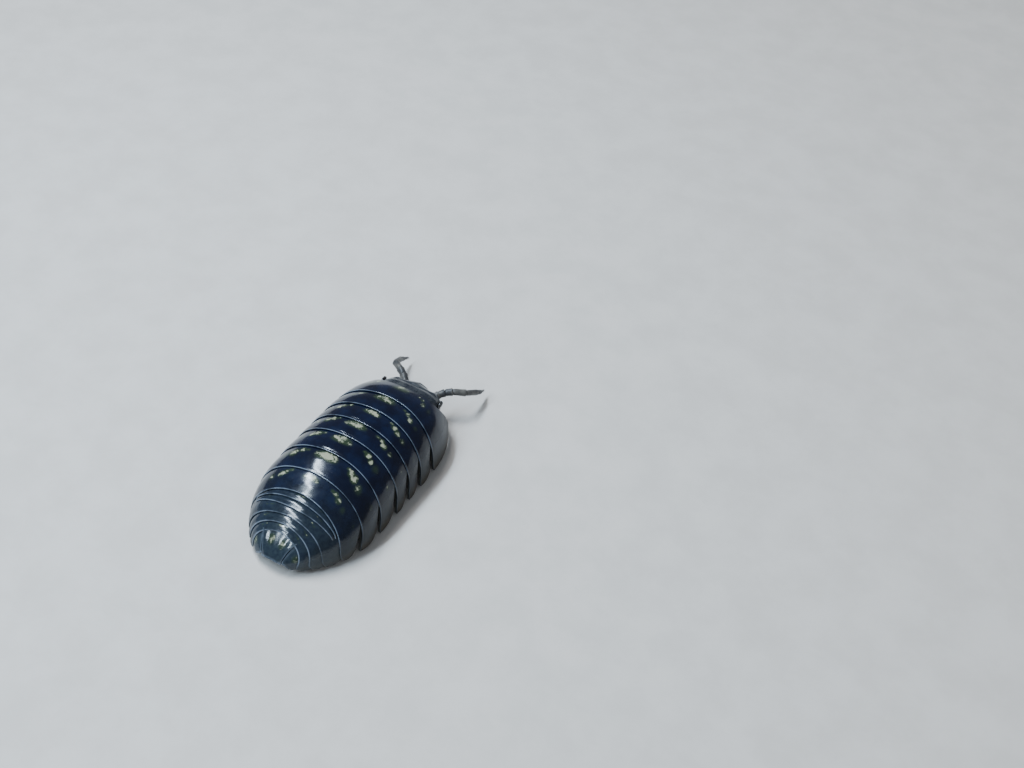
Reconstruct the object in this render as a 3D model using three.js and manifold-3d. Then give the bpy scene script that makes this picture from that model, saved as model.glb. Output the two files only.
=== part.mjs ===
// A life-size model of a common pill woodlouse, resting with its legs tucked under its shell.
// Millimetres, +Z up. The head faces -Y and the tail +Y, so the animal's right side is at -X.
// One smooth hull gives the width and the height of the back at each place along the body.
// Every shell plate is a stretch of that hull between two borders, with its flesh under it down to
// the belly. The rear lip of each plate lies over the sunken front of the next.
import * as THREE from "three";
import { mergeVertices } from "three/addons/utils/BufferGeometryUtils.js";
import Module from "manifold-3d";

const wasm = await Module();
wasm.setup();

// Whole animal
const BODY_LENGTH = 16; // without the antennae
const BODY_WIDTH = 8;
const BODY_HEIGHT = 4.24;
const SKIRT_CLEARANCE = 0.22; // from the floor to the lower edge of the side plates
const END_LIFT = 0.2; // how much higher that edge is at the head and the tail
const HEAD_END = -BODY_LENGTH / 2;
const TAIL_END = BODY_LENGTH / 2;

// How neighbouring pieces meet
const GAP = 0.12;
const LIP_OVERLAP = 0.34; // how far a rear lip covers the next plate
const TAIL_OVERLAP = 0.22; // the same for the short plates of the tail
const LIP_STEP = 0.34; // how far the covered front of a plate lies under the hull
const LIP = 0.07; // least thickness of a lip
const LIP_BEVEL = 0.06;
const STEP_POWER = 1.5;

// Cross-section: a superellipse over the back, a flat belly, and a side plate on each side
const SECTION_POWER = 2.4;
const SIDE_PLATE_THICKNESS = 0.5;
const THINNING_WIDTH = 2.8;
const PLATE_ROOT = THREE.MathUtils.degToRad(12); // up to here a side plate hangs free
const BELLY_INSET = 0.9; // from the hull in to the edge of the belly
const BELLY_HEIGHT = 1.62;
const BACK_STEPS = 24; // faces from one lower edge over the back to the other
const PLATE_STATIONS = [0, 0.35, 0.7, 1]; // along each plate, front to rear
const FRONT_CORNER_LIFT = 0.3; // rounds the front corner of each side plate

// Rear borders of the seven pereonites on the midline, and how far each sweeps back at its sides
const PEREONITE_REARS = [-4.52, -2.92, -1.48, -0.05, 1.58, 3.26, 4.66];
const PEREONITE_SWEEPS = [1, 0.75, 0.55, 0.45, 0.6, 0.76, 1.05];
const SWEEP_POWER = 0.65;
const FIRST_FRONT = -6.25;
const FIRST_FRONT_SWEEP = -1.0; // the first plate reaches forward beside the head
const FIRST_FRONT_POWER = 1.2;
// Side plates: how much further back each tip sweeps, and the slit in front of it
const TIP_SWEEPS = [0.1, 0.35, 0.45, 0.5, 0.55, 0.55, 0];
const TIP_SWEEP_POWER = 6;
const TIP_SLITS = [0, 0.32, 0.32, 0.3, 0.28, 0.27, 0.26];
const SLIT_FROM = 0.3; // shares of the way from the back to the lower edge where a slit opens
const SLIT_TO = 0.85;
const TIP_ROUNDING = 0.28; // how far each tip is rounded off at its rear
const TIP_POWER = 12;

// Rear borders of the five pleonites. The first two are saddles with no side plates.
const PLEONITE_REARS = [5.08, 5.54, 6.0, 6.44, 6.86];
const PLEONITE_SWEEPS = [0.78, 0.46, 0.62, 0.8, 0.86];
const SADDLES = 2;
// Sines of the angles between which the next plate steps forward beside the saddles
const SHOULDER_FROM = 0.4;
const SHOULDER_TO = 0.56;
const SADDLE_ANGLE = THREE.MathUtils.degToRad(36.5); // where a saddle's edge lies on the hull

// Length-wise shape of the hull: each end falls away as a quarter of a superellipse
const WIDTH_REAR = { start: 3.1, end: TAIL_END + 0.2, power: 1.76 };
const WIDTH_FRONT = { start: -2.5, end: HEAD_END - 0.6, power: 2.4 };
const HEIGHT_REAR = { start: 1.3, end: TAIL_END + 0.3, power: 1.64 };
const HEIGHT_FRONT = { start: -1.5, end: HEAD_END - 1.2, power: 2.2 };

// Telson and uropods
const TELSON_BASE = 1.32; // half widths
const TELSON_TIP = 0.66;
const TELSON_TAPER = 0.8;
const TELSON_ROWS = 7;
const UROPOD_ROWS = 6;
const UROPOD_SIDE = 0.06; // where its outer edge runs, from the lower edge up to the telson
const UROPOD_REAR = TAIL_END - 0.06;

// Legs: per point, how far in from the hull's side it lies, its height, share of swing and radius
const LEG_PATH = [
  [1.4, BELLY_HEIGHT - GAP, 0, 0.29],
  [1.78, 1.36, 0.05, 0.25],
  [2.2, 1.22, 0.1, 0.27],
  [2.55, 1.06, 0.15, 0.25],
  [2.76, 0.79, 0.22, 0.24],
  [2.58, 0.54, 0.32, 0.24],
  [2.15, 0.43, 0.42, 0.26],
  [1.82, 0.42, 0.5, 0.24],
  [1.35, 0.45, 0.68, 0.26],
  [1.12, 0.42, 0.78, 0.24],
  [0.92, 0.26, 0.9, 0.2],
  [0.86, 0, 1, 0.12],
];
const LEG_SIDES = 8;
const LEG_SWEEP_SHARE = 0.4; // the borders at the legs lie this share of their sweep back
const LEG_SWINGS = [-0.55, -0.4, -0.2, 0, 0.25, 0.45, 0.65];
const ARTICLE_PROFILE = [
  [0.3, 1],
  [0.8, 1.04],
];
const JOINT_PINCH = 0.88;

// Head: per station, its place, half width, underside and top
const HEAD_STATIONS = [
  [HEAD_END, 1.35, 1.2, 2.05],
  [HEAD_END + 0.1, 1.72, 1.0, 2.32],
  [HEAD_END + 0.42, 2.02, 0.86, 2.62],
  [HEAD_END + 0.9, 2.15, 0.84, 2.84],
  [HEAD_END + 1.35, 2.12, 0.98, 2.95],
  [FIRST_FRONT - GAP - 0.02, 2.0, 1.15, 2.9],
];
const HEAD_SIDES = 24;
const HEAD_POWER = 2.8;
const HEAD_REAR_BOW = 0.25;
const SHIELD_RISE = 0.3; // the triangular shield on the brow stands this far above it
const SHIELD_HALF_WIDTH = 0.95;
const LOBE_RISE = 0.22; // and so does the lobe over each antenna
const LOBE_PLACE = 1.45;
const LOBE_HALF_WIDTH = 0.4;
const BROW_LENGTH = 0.6;

const EYE_PLACE = { x: 2.2, y: HEAD_END + 0.8, z: 2.15 };
const EYE_HALF_LENGTH = 0.3;
const EYE_HALF_HEIGHT = 0.22;
const EYE_RINGS = [
  [0, 1],
  [0.07, 0.86],
  [0.12, 0.45],
];

const ANTENNA_JOINTS = [
  [1.15, HEAD_END - GAP, 1.62],
  [1.3, HEAD_END - 0.42, 1.66],
  [1.62, HEAD_END - 0.72, 1.78],
  [2.05, HEAD_END - 1.0, 1.86],
  [2.75, HEAD_END - 1.5, 1.72],
  [3.0, HEAD_END - 2.5, 1.12],
  [3.02, HEAD_END - 2.85, 0.88],
  [2.98, HEAD_END - 3.5, 0.5],
];
const ANTENNA_RADII = [0.26, 0.27, 0.26, 0.26, 0.25, 0.24, 0.2, 0.08];

const MOUTH_HALF_WIDTH = 0.85;
const MOUTH_TOP = 0.72;
const MOUTH_DEPTH = 0.34;
const MOUTH_PROFILE = [
  [HEAD_END + 0.35, 0.5],
  [HEAD_END + 0.55, 0.9],
  [HEAD_END + 1.0, 1],
  [HEAD_END + 1.35, 0.6],
];

const FLAPS = 5;
const FLAP_FRONT = 4.7;
const FLAP_REAR = 6.45;
const FLAP_TOP = BELLY_HEIGHT - GAP;
const FLAP_DEPTH = 0.55;
const FLAP_HALF_WIDTH = 1.15;
const FLAP_TAPER = 0.35;
const FLAP_ACROSS = [
  [-1, 0.5],
  [-0.75, 0.9],
  [-0.4, 1],
  [-0.06, 0.9],
  [0, 0.5],
  [0.06, 0.9],
  [0.4, 1],
  [0.75, 0.9],
  [1, 0.5],
];

// The animal's right side is at -X.
const SIDES = [
  ["left", 1],
  ["right", -1],
];

const MATERIALS = {
  shell: { color: 0x141b26, roughness: 0.28 },
  head: { color: 0x12161d, roughness: 0.4 },
  eye: { color: 0x030304, roughness: 0.2 },
  antenna: { color: 0x3a3c40, roughness: 0.45 },
  leg: { color: 0x6d6a62, roughness: 0.5 },
  gill_plate: { color: 0xb4ab98, roughness: 0.55 },
};

const group = new THREE.Group();
const { lerp, clamp } = THREE.MathUtils;

// Evenly spaced numbers, both ends included.
const range = (from, to, count) =>
  Array.from({ length: count }, (_, i) => lerp(from, to, i / (count - 1)));

// Falls from 1 at an end shape's start to 0 at its end.
function fall(y, { start, end, power }) {
  const t = clamp((y - start) / (end - start), 0, 1);
  return Math.pow(1 - Math.pow(t, power), 1 / power);
}

const halfWidth = (y) =>
  (BODY_WIDTH / 2) * Math.min(fall(y, WIDTH_REAR), fall(y, WIDTH_FRONT));
const topHeight = (y) =>
  BODY_HEIGHT * Math.min(fall(y, HEIGHT_REAR), fall(y, HEIGHT_FRONT));
const edgeHeight = (y) =>
  SKIRT_CLEARANCE + END_LIFT * Math.pow(Math.abs(y) / TAIL_END, 4);

const signedPower = (v, p) => Math.sign(v) * Math.pow(Math.abs(v), p);

// A point of the hull, moved out by `grow`. Angle 0 is the right lower edge and PI the left one.
function hullPoint(angle, y, grow, edge = edgeHeight(y)) {
  const across = -(halfWidth(y) + grow) * signedPower(Math.cos(angle), 2 / SECTION_POWER);
  const rise = (topHeight(y) + grow - edge) * Math.pow(Math.sin(angle), 2 / SECTION_POWER);
  return new THREE.Vector3(across, y, edge + rise);
}

// Height of the hull over a point of the plan, and the angle there.
function hullHeight(x, y, grow) {
  const across = Math.min(1, Math.abs(x) / (halfWidth(y) + grow));
  const share = Math.pow(1 - Math.pow(across, SECTION_POWER), 1 / SECTION_POWER);
  return lerp(edgeHeight(y), topHeight(y) + grow, share);
}
function angleOver(x, y, grow = 0) {
  const across = clamp(Math.abs(x) / (halfWidth(y) + grow), 0, 1);
  return Math.acos(Math.pow(across, SECTION_POWER / 2));
}

// 0 over the back, 1 at the lower edges.
const towardsEdge = (angle, power) => Math.pow(1 - Math.sin(angle), power);

// How far a rear border with this sweep lies behind its middle.
const sweptBack = (angle, sweep, tipSweep = 0) =>
  sweep * towardsEdge(angle, SWEEP_POWER) +
  tipSweep * towardsEdge(angle, TIP_SWEEP_POWER) -
  TIP_ROUNDING * towardsEdge(angle, TIP_POWER);

// A closed geometry from rings of points that all have the same count.
// `cap` lists the triangles that close a ring, as indices into it.
function loft(rings, cap) {
  const count = rings[0].length;
  const positions = rings.flat().flatMap((p) => [p.x, p.y, p.z]);
  const faces = [];
  for (let r = 0; r + 1 < rings.length; r++) {
    for (let i = 0; i < count; i++) {
      const a = r * count + i;
      const b = r * count + ((i + 1) % count);
      faces.push(a, b, a + count, b, b + count, a + count);
    }
  }
  const last = (rings.length - 1) * count;
  for (const [a, b, c] of cap(count)) {
    faces.push(a, c, b);
    faces.push(last + a, last + b, last + c);
  }
  const geometry = new THREE.BufferGeometry();
  geometry.setAttribute("position", new THREE.Float32BufferAttribute(positions, 3));
  geometry.setIndex(faces);
  return geometry;
}

// Closes a ring whose second half runs back under its first half.
function stripCap(count) {
  const triangles = [];
  for (let i = 0; i + 1 < count / 2; i++) {
    const under = count - 1 - i;
    triangles.push([i, i + 1, under], [i + 1, under - 1, under]);
  }
  return triangles;
}

// Closes a loop that has hollows, from its outline in plan. Corners in rising order keep every
// triangle turning the same way as the loop.
function outlineCap(loop) {
  const plan = loop.map((point) => new THREE.Vector2(point.x, point.y));
  const triangles = THREE.ShapeUtils.triangulateShape(plan, []);
  return () => triangles.map((corners) => corners.sort((a, b) => a - b));
}

// Closes a round ring as a fan.
function fanCap(count) {
  return Array.from({ length: count - 2 }, (_, i) => [0, i + 1, i + 2]);
}

function flipped(geometry) {
  const index = geometry.index.array;
  for (let i = 0; i < index.length; i += 3) {
    [index[i + 1], index[i + 2]] = [index[i + 2], index[i + 1]];
  }
  return geometry;
}

// A solid of a closed geometry, with its faces pointing out.
function toManifold(geometry) {
  const bare = geometry.clone();
  for (const name of Object.keys(bare.attributes)) {
    if (name !== "position") bare.deleteAttribute(name);
  }
  const merged = mergeVertices(bare, 1e-5);
  const solid = new wasm.Manifold(
    new wasm.Mesh({
      numProp: 3,
      vertProperties: new Float32Array(merged.attributes.position.array),
      triVerts: new Uint32Array(merged.index.array),
    }),
  );
  return solid.volume() < 0 ? toManifold(flipped(merged)) : solid;
}

// The largest closed surface of a solid, as a geometry.
function toGeometry(solid) {
  const largest = solid.decompose().sort((a, b) => b.volume() - a.volume())[0];
  const mesh = largest.getMesh();
  const geometry = new THREE.BufferGeometry();
  geometry.setAttribute("position", new THREE.BufferAttribute(mesh.vertProperties, 3));
  geometry.setIndex(new THREE.BufferAttribute(mesh.triVerts, 1));
  return geometry;
}

function addNode(name, solid, material) {
  const mesh = new THREE.Mesh(
    toGeometry(solid),
    new THREE.MeshStandardMaterial({ ...MATERIALS[material], metalness: 0, name: material }),
  );
  mesh.name = name;
  group.add(mesh);
}

// Segments of the trunk and the tail: borders as functions of the angle round the hull
const segments = [];
PEREONITE_REARS.forEach((rear, i) => {
  const before = segments.at(-1);
  // Covered by the plate in front over the back, and apart from it at the tips
  const slit = (angle) => {
    const opening = THREE.MathUtils.smoothstep(1 - Math.sin(angle), SLIT_FROM, SLIT_TO);
    return lerp(-LIP_OVERLAP, TIP_SLITS[i], opening);
  };
  segments.push({
    name: `pereonite_${i + 1}`,
    saddle: false,
    front: (angle) =>
      i === 0
        ? FIRST_FRONT + FIRST_FRONT_SWEEP * towardsEdge(angle, FIRST_FRONT_POWER)
        : before.rear(angle) + slit(angle),
    rear: (angle) => rear + sweptBack(angle, PEREONITE_SWEEPS[i], TIP_SWEEPS[i]),
  });
});
const lastPereonite = segments.at(-1);

PLEONITE_REARS.forEach((rear, i) => {
  const before = segments.at(-1);
  // Beside the saddles the first full pleonite starts right behind the last pereonite.
  const besideSaddle = (angle) =>
    1 - THREE.MathUtils.smoothstep(Math.sin(angle), SHOULDER_FROM, SHOULDER_TO);
  segments.push({
    name: `pleonite_${i + 1}`,
    saddle: i < SADDLES,
    front: (angle) =>
      (i === SADDLES
        ? lerp(before.rear(angle), lastPereonite.rear(angle), besideSaddle(angle))
        : before.rear(angle)) - TAIL_OVERLAP,
    rear: (angle) => rear + sweptBack(angle, PLEONITE_SWEEPS[i]),
  });
});

// How far a plate's surface lies under the hull, from its covered front to its rear edge.
const sinkAt = (along) => -LIP_STEP * Math.pow(1 - clamp(along, 0, 1), STEP_POWER);

// The inner side of a segment: the inside of its side plates, then the belly. Where the tail
// narrows, the side plates get thinner.
function innerPoint(angle, y) {
  const fromEdge = Math.min(angle, Math.PI - angle);
  const thickness = SIDE_PLATE_THICKNESS * Math.min(1, halfWidth(y) / THINNING_WIDTH);
  if (fromEdge < PLATE_ROOT) return hullPoint(angle, y, -thickness);
  const reach = (halfWidth(y) - BELLY_INSET) / Math.cos(PLATE_ROOT);
  const inside = hullPoint(angle, y, -thickness).z;
  return new THREE.Vector3(-reach * Math.cos(angle), y, Math.min(BELLY_HEIGHT, inside));
}

// The outline of a segment at one angle, as a loop: over the back, round the rear lip, forward
// to the recess for the next plate, and back along the inner side.
function segmentLoop(segment, next, angle) {
  const front = segment.front(angle);
  const rear = segment.rear(angle);
  const over = PLATE_STATIONS.map((along) => {
    const y = lerp(front, rear, along);
    const corner = FRONT_CORNER_LIFT * Math.pow(1 - along, 3);
    return hullPoint(angle, y, sinkAt(along), edgeHeight(y) + corner);
  });
  // The underside of the lip keeps the gap over the next plate.
  const depth = (y) =>
    Math.min(sinkAt((y - next.front(angle)) / (next.rear(angle) - next.front(angle))) + GAP, -LIP);
  const lip = rear - LIP_BEVEL;
  const recess = Math.min(next.front(angle) - GAP, rear - 2 * LIP_BEVEL);
  return [
    ...over,
    hullPoint(angle, lip, depth(lip)),
    hullPoint(angle, recess, depth(recess)),
    innerPoint(angle, recess),
    innerPoint(angle, front),
  ];
}

function segmentSolid(segment, next) {
  const from = segment.saddle ? SADDLE_ANGLE : 0;
  const loops = range(from, Math.PI - from, BACK_STEPS + 1).map((angle) =>
    segmentLoop(segment, next, angle),
  );
  return toManifold(loft(loops, outlineCap(loops[0])));
}

// The last pleonite's lip takes the telson the way the other lips take the next plate.
const lastPleonite = segments.at(-1);
const telsonSeat = {
  front: (angle) => lastPleonite.rear(angle) - TAIL_OVERLAP,
  rear: () => TAIL_END,
};
segments.forEach((segment, i) => {
  addNode(segment.name, segmentSolid(segment, segments[i + 1] ?? telsonSeat), "shell");
});

// A slab from rows of points on its outer face. `inward` gives the way through to its inner
// face for the shares across and along.
function slab(rows, inward) {
  const rings = rows.map((row, r) => {
    const along = r / (rows.length - 1);
    const inner = row.map((point, i) => point.clone().add(inward(i / (row.length - 1), along)));
    return [...row, ...inner.reverse()];
  });
  return toManifold(loft(rings, stripCap));
}

// Telson: a wide truncated triangle in the middle of the tail
const telsonFront = telsonSeat.front(Math.PI / 2);
function telsonHalfWidth(y) {
  const along = clamp((y - telsonFront) / (TAIL_END - telsonFront), 0, 1);
  return lerp(TELSON_BASE, TELSON_TIP, Math.pow(along, TELSON_TAPER));
}
const tailSink = (y, front) => sinkAt((y - front) / (TAIL_END - front));

const telsonRows = range(0, 1, TELSON_ROWS).map((along) => {
  const middle = lerp(telsonFront, TAIL_END, along);
  return range(-1, 1, 9).map((across) => {
    const x = across * telsonHalfWidth(middle);
    const front = telsonSeat.front(angleOver(x, middle));
    const y = lerp(Math.min(front, TAIL_END - 0.5), TAIL_END, along);
    const sink = tailSink(middle, telsonFront);
    return new THREE.Vector3(x, y, hullHeight(x, middle, sink));
  });
});
const telsonInward = (across, along) => new THREE.Vector3(0, -0.35 * along, -0.42 + 0.1 * along);
addNode("telson", slab(telsonRows, telsonInward), "shell");

// Uropods: flat plates that fill the tail between the telson and the last side plates
for (const [side, sign] of SIDES) {
  const rows = range(0, 1, UROPOD_ROWS).map((along) =>
    range(UROPOD_SIDE, 1, 5).map((across) => {
      const steepest = angleOver(telsonHalfWidth(telsonFront) + GAP, telsonFront);
      const front = telsonSeat.front(across * steepest);
      const y = lerp(front, UROPOD_REAR - 0.1 * (1 - across), along);
      const sink = tailSink(y, front);
      const angle = across * angleOver(telsonHalfWidth(y) + GAP, y, sink);
      const point = hullPoint(angle, y, sink);
      return new THREE.Vector3(sign * Math.abs(point.x), y, point.z);
    }),
  );
  const inward = (across, along) =>
    new THREE.Vector3(-sign * 0.25 * (1 - across), -0.3 * along, -0.38 + 0.1 * along);
  addNode(`uropod_${side}`, slab(rows, inward), "shell");
}

// A limb along a path of joints. `swell` lists its radius at each; the two end faces are flat
// across `startAxis` and `endAxis`.
function limb(path, radii, sides, startAxis, endAxis, reference) {
  const rings = path.map((point, i) => {
    const before = path[i - 1];
    const after = path[i + 1];
    const into = before ? point.clone().sub(before).normalize() : startAxis;
    const out = after ? after.clone().sub(point).normalize() : endAxis;
    const axis = before && after ? into.clone().add(out).normalize() : before ? endAxis : startAxis;
    const u = reference.clone().cross(axis).normalize();
    const v = axis.clone().cross(u);
    return range(0, 2 * Math.PI * (1 - 1 / sides), sides).map((turn) =>
      point
        .clone()
        .addScaledVector(u, radii[i] * Math.cos(turn))
        .addScaledVector(v, radii[i] * Math.sin(turn)),
    );
  });
  return toManifold(loft(rings, fanCap));
}

// Adds a thick ring of skin at each joint between two articles, and thinner middles.
function articles(joints, radii) {
  const path = [joints[0]];
  const widths = [radii[0]];
  for (let i = 1; i < joints.length; i++) {
    for (const [share, width] of ARTICLE_PROFILE) {
      path.push(joints[i - 1].clone().lerp(joints[i], share));
      widths.push(lerp(radii[i - 1], radii[i], share) * width);
    }
    path.push(joints[i]);
    widths.push(radii[i] * (i < joints.length - 1 ? JOINT_PINCH : 1));
  }
  return [path, widths];
}

const DOWN = new THREE.Vector3(0, 0, -1);
const FORWARD = new THREE.Vector3(0, -1, 0);
const UP = new THREE.Vector3(0, 0, 1);

// Legs: from the belly in to the knee, out again under the side plate, and down to the floor
const radii = LEG_PATH.map(([, , , radius]) => radius);
for (const [side, sign] of SIDES) {
  LEG_SWINGS.forEach((swing, i) => {
    const root = (segments[i].front(Math.PI / 2) + segments[i + 1].front(Math.PI / 2) - GAP) / 2;
    const back = root + PEREONITE_SWEEPS[i] * LEG_SWEEP_SHARE;
    const path = LEG_PATH.map(([inset, height, along]) => {
      const y = back + swing * along;
      return new THREE.Vector3(sign * (halfWidth(y) - inset), y, height);
    });
    addNode(`leg_${side}_${i + 1}`, limb(path, radii, LEG_SIDES, DOWN, DOWN, FORWARD), "leg");
  });
}

// Head: a broad block with rounded corners, a triangular shield on its brow and a lobe beside it
const peak = (x, half) => Math.max(0, 1 - Math.abs(x) / half);
function browRise(x, y) {
  const fade = clamp(1 - (y - HEAD_END) / BROW_LENGTH, 0, 1);
  const lobe = LOBE_RISE * peak(Math.abs(x) - LOBE_PLACE, LOBE_HALF_WIDTH);
  return fade * (SHIELD_RISE * peak(x, SHIELD_HALF_WIDTH) + lobe);
}
const headRings = HEAD_STATIONS.map(([y, width, bottom, top]) =>
  range(0, 2 * Math.PI * (1 - 1 / HEAD_SIDES), HEAD_SIDES).map((turn) => {
    const x = width * signedPower(Math.cos(turn), 2 / HEAD_POWER);
    const rise = ((top - bottom) / 2) * signedPower(Math.sin(turn), 2 / HEAD_POWER);
    const bow = y === HEAD_STATIONS.at(-1)[0] ? -HEAD_REAR_BOW * Math.pow(x / width, 2) : 0;
    const brow = Math.sin(turn) > 0 ? browRise(x, y) : 0;
    return new THREE.Vector3(x, y + bow, (top + bottom) / 2 + rise + brow);
  }),
);
addNode("head", toManifold(loft(headRings, fanCap)), "head");

// Eyes: flat ovals bulging from the sides of the head
for (const [side, sign] of SIDES) {
  const rings = EYE_RINGS.map(([out, size]) =>
    range(0, 2 * Math.PI * (1 - 1 / 12), 12).map(
      (turn) =>
        new THREE.Vector3(
          sign * (EYE_PLACE.x + out),
          EYE_PLACE.y + size * EYE_HALF_LENGTH * Math.cos(turn),
          EYE_PLACE.z + size * EYE_HALF_HEIGHT * Math.sin(turn),
        ),
    ),
  );
  addNode(`eye_${side}`, toManifold(loft(rings, fanCap)), "eye");
}

// Antennae: five articles with an elbow, then a lash of two
for (const [side, sign] of SIDES) {
  const joints = ANTENNA_JOINTS.map(([x, y, z]) => new THREE.Vector3(sign * x, y, z));
  const [path, widths] = articles(joints, ANTENNA_RADII);
  const end = joints.at(-1).clone().sub(joints.at(-2)).normalize();
  addNode(`antenna_${side}`, limb(path, widths, 8, FORWARD, end, UP), "antenna");
}

// Mouthparts: a pair of flat plates under the head, with a groove between them
const mouthRings = range(-1, 1, 9).map((across) => {
  const x = across * MOUTH_HALF_WIDTH;
  const depth = MOUTH_DEPTH * (across === 0 ? 0.6 : Math.sqrt(1 - 0.7 * across * across));
  const top = MOUTH_TOP;
  const under = MOUTH_PROFILE.map(([y, share]) => new THREE.Vector3(x, y, top - depth * share));
  const over = MOUTH_PROFILE.map(([y]) => new THREE.Vector3(x, y, top));
  return [...under, ...over.reverse()];
});
addNode("mouthparts", toManifold(loft(mouthRings, stripCap)), "gill_plate");

// Pleopods: five pairs of flaps that overlap like tiles under the tail
const flapProfile = range(0, FLAPS - 1, FLAPS).flatMap((i) => {
  const y = lerp(FLAP_FRONT, FLAP_REAR, i / FLAPS);
  const step = (FLAP_REAR - FLAP_FRONT) / FLAPS;
  return [
    [y + 0.06 * step, 0.45],
    [y + 0.5 * step, 0.75],
    [y + 0.98 * step, 1],
  ];
});
const flapRings = FLAP_ACROSS.map(([across, share]) => {
  const under = flapProfile.map(([y, depth]) => {
    const along = (y - FLAP_FRONT) / (FLAP_REAR - FLAP_FRONT);
    const width = FLAP_HALF_WIDTH * (1 - FLAP_TAPER * along * along);
    return new THREE.Vector3(across * width, y, FLAP_TOP - FLAP_DEPTH * depth * share);
  });
  const over = under.map((point) => new THREE.Vector3(point.x, point.y, FLAP_TOP));
  return [...under, ...over.reverse()];
});
addNode("pleopods", toManifold(loft(flapRings, stripCap)), "gill_plate");

// The part's origin is the bottom centre of its bounding box.
const box = new THREE.Box3().setFromObject(group);
const centre = box.getCenter(new THREE.Vector3());
group.position.set(-centre.x, -centre.y, -box.min.z);
group.updateMatrixWorld(true);

export default group;
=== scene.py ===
"""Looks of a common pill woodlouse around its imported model: plates, skin, limbs and studio."""
import math
import random

import bmesh
import bpy
import numpy as np
from mathutils import Matrix, Vector


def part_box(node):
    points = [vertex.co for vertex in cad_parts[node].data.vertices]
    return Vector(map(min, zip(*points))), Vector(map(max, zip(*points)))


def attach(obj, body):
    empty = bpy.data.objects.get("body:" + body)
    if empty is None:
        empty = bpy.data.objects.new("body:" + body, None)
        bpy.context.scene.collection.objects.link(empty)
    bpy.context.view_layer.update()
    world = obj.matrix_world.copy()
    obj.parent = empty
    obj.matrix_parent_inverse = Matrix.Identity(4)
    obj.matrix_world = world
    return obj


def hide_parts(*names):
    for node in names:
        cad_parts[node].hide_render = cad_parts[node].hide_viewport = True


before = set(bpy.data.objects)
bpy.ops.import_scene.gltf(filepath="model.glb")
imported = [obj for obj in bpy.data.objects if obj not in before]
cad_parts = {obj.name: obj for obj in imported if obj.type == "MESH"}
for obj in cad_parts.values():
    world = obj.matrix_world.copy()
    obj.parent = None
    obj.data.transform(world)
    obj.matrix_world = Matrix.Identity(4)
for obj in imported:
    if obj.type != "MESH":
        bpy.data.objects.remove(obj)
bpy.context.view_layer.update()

MM = 0.001
SEED = 7
rng = random.Random(SEED)

# The same hull as the solids have, in millimetres, with the tail's end at y = 8
TAIL_END = 8.0
HEAD_END = -8.0
BODY_WIDTH = 8.0
BODY_HEIGHT = 4.24
SKIRT_CLEARANCE = 0.22
END_LIFT = 0.2
SECTION_POWER = 2.4
# Where the width or height starts to fall, where it would reach nothing, and the curve's power
WIDTH_REAR = (3.1, TAIL_END + 0.2, 1.76)
WIDTH_FRONT = (-2.5, HEAD_END - 0.6, 2.4)
HEIGHT_REAR = (1.3, TAIL_END + 0.3, 1.64)
HEIGHT_FRONT = (-1.5, HEAD_END - 1.2, 2.2)

LIP_OVERLAP = 0.34
TAIL_OVERLAP = 0.22
FRONT_CORNER_LIFT = 0.3
PEREONITE_REARS = (-4.52, -2.92, -1.48, -0.05, 1.58, 3.26, 4.66)
PEREONITE_SWEEPS = (1, 0.75, 0.55, 0.45, 0.6, 0.76, 1.05)
SWEEP_POWER = 0.65
FIRST_FRONT = -6.25
FIRST_FRONT_SWEEP = -1.0
FIRST_FRONT_POWER = 1.2
TIP_SWEEPS = (0.1, 0.35, 0.45, 0.5, 0.55, 0.55, 0)
TIP_SWEEP_POWER = 6
TIP_SLITS = (0, 0.32, 0.32, 0.3, 0.28, 0.27, 0.26)
SLIT_FROM = 0.3
SLIT_TO = 0.85
TIP_ROUNDING = 0.28
TIP_POWER = 12
PLEONITE_REARS = (5.08, 5.54, 6.0, 6.44, 6.86)
PLEONITE_SWEEPS = (0.55, 0.1, 0.62, 0.8, 0.86)
SADDLES = 2
SADDLE_ANGLE = math.radians(22)
SHOULDER_FROM = 0.4
SHOULDER_TO = 0.56
TELSON_BASE = 1.32
TELSON_TIP = 0.66
TELSON_TAPER = 0.8
UROPOD_SIDE = 0.06
UROPOD_REAR = TAIL_END - 0.06

# Shell plates as the real ones are: steps of the mesh, sizes in millimetres
ACROSS_STEPS = 168
ALONG_STEPS = 30
BACK_CROWDING = 0.06
LIP_CROWDING = 1.25
LIP_RADIUS = 0.026
LIP_TURNS = (0.35, 0.8, 1.3, 1.85, 2.4, 2.9)
GAP = 0.025
SHOWN_STEP = 0.1
SHOWN_STEP_POWER = 2.2
COVER_DIP = 0.16
COVER_DIP_POWER = 1.3
COVER_LENGTH = 0.4
LEAST_SHOWN = 0.001
GROOVE_DEPTH = 0.012
GROOVE_WIDTH = 0.035
GROOVE_PLACE = 0.12
SWELL = 0.02
GRAIN = ((0.003, 2.2), (0.0016, 5.5))
# The band of painted highlight along each plate's rear rim: its width, and where it is full
RIM_WIDTH = 0.05
RIM_FULL = 0.02
SHELL_THICKNESS = 0.1
TIP_THICKNESS = 0.16
ROOT_THICKNESS = 0.42
ROOT_ANGLE = math.radians(15.6)
THIN_FROM = 0.6
THICKEST_SHARE = 0.22
RECESS_GAP = 0.05
LEAST_LIP = 0.12
LEAST_BACK_SHARE = 0.4
UNDER_LIP_SHARES = np.linspace(0.12, 1, 6)
INSIDE_SHARES = (0.25, 0.5, 0.75, 1.0)
LEAST_THICKNESS = 0.02
SADDLE_TUCK = 0.16
TUCK_ANGLES = (math.radians(26), math.radians(40))

# The solids stand with the whole box centred, so the hull's own frame lies further back.
SHIFT_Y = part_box("telson")[1][1] / MM - TAIL_END


def place(points):
    """Millimetres of the hull's frame to metres of the model's."""
    return (np.asarray(points, float) + (0, SHIFT_Y, 0)) * MM


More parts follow.
